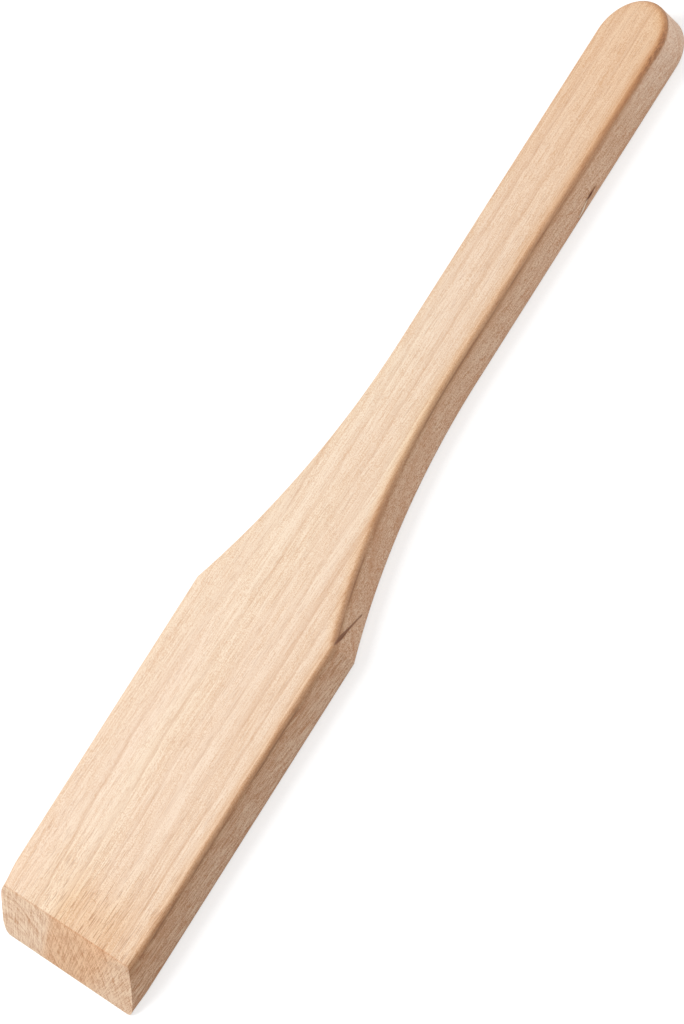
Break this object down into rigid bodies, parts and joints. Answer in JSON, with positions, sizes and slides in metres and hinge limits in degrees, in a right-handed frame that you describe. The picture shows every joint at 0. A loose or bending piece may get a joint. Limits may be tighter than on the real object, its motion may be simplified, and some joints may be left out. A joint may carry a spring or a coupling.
{
  "type": "wooden spatula",
  "caption": "Flat one-piece beech spatula: straight-sided blade with a slant-sawn scraping end, hollow-swept shoulders and a slim handle with a round tip, for stirring and turning food.",
  "frame": {"origin": "under the middle of the spatula's length and width, on the plane of its flat back face", "axes": "+Y runs from the sawn scraping end to the tip of the handle, +X is the right side seen from above, +Z points out of the front face"},
  "size_m": [0.06, 0.3, 0.0105],
  "materials": {
    "beech": "bare beech, planed and sanded matt, with fine straight grain, short darker flecks and sawn end grain"
  },
  "bodies": {
    "root": {"spatula": "beech"}
  },
  "joints": []
}
